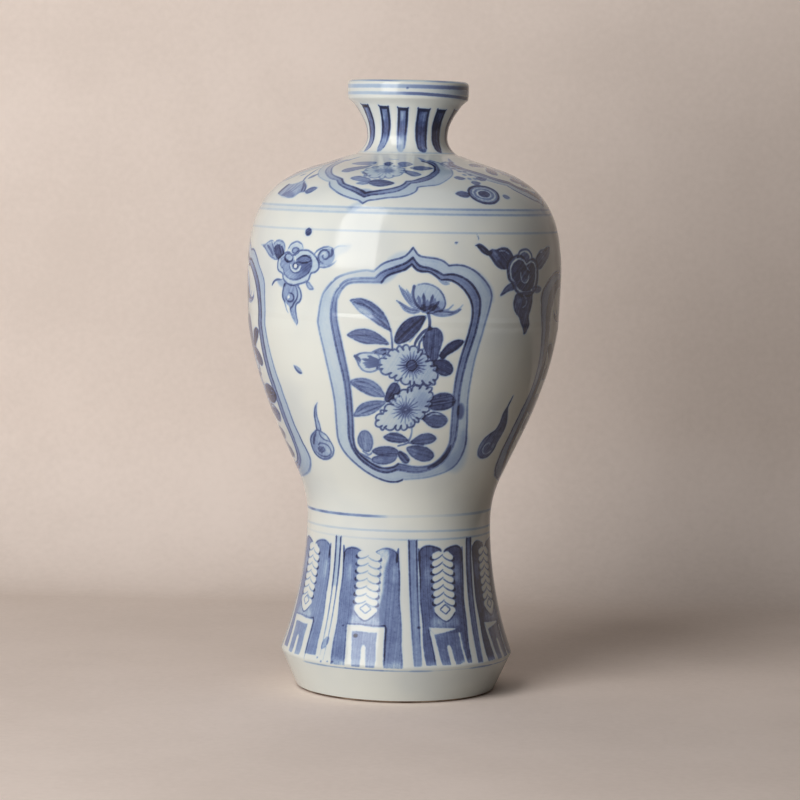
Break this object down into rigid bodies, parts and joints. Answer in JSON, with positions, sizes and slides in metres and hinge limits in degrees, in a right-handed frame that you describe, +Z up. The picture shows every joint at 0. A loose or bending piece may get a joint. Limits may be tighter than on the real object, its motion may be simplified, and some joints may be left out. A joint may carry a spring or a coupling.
{
  "type": "meiping vase",
  "caption": "Porcelain vase with a small lip, waisted neck, high round shoulders, narrowed waist and flared foot skirt; stands on its foot ring and holds a flowering branch.",
  "frame": {"origin": "centre of the standing ring, on the ground plane", "axes": "+Z up along the axis of the vase, -Y towards the pictured front"},
  "size_m": [0.1392, 0.1392, 0.27],
  "materials": {
    "porcelain": "unglazed fired clay",
    "slip": "fired slip",
    "glaze": "glossy glaze"
  },
  "bodies": {
    "root": {"neck_and_lip": "porcelain", "upper_body": "porcelain", "lower_body": "porcelain", "foot_skirt": "porcelain", "base_disc": "porcelain", "neck_slip_joint": "slip", "body_slip_joint": "slip", "waist_slip_joint": "slip", "base_slip_joint": "slip", "outer_glaze": "glaze", "inner_glaze": "glaze", "base_glaze": "glaze"}
  },
  "joints": []
}
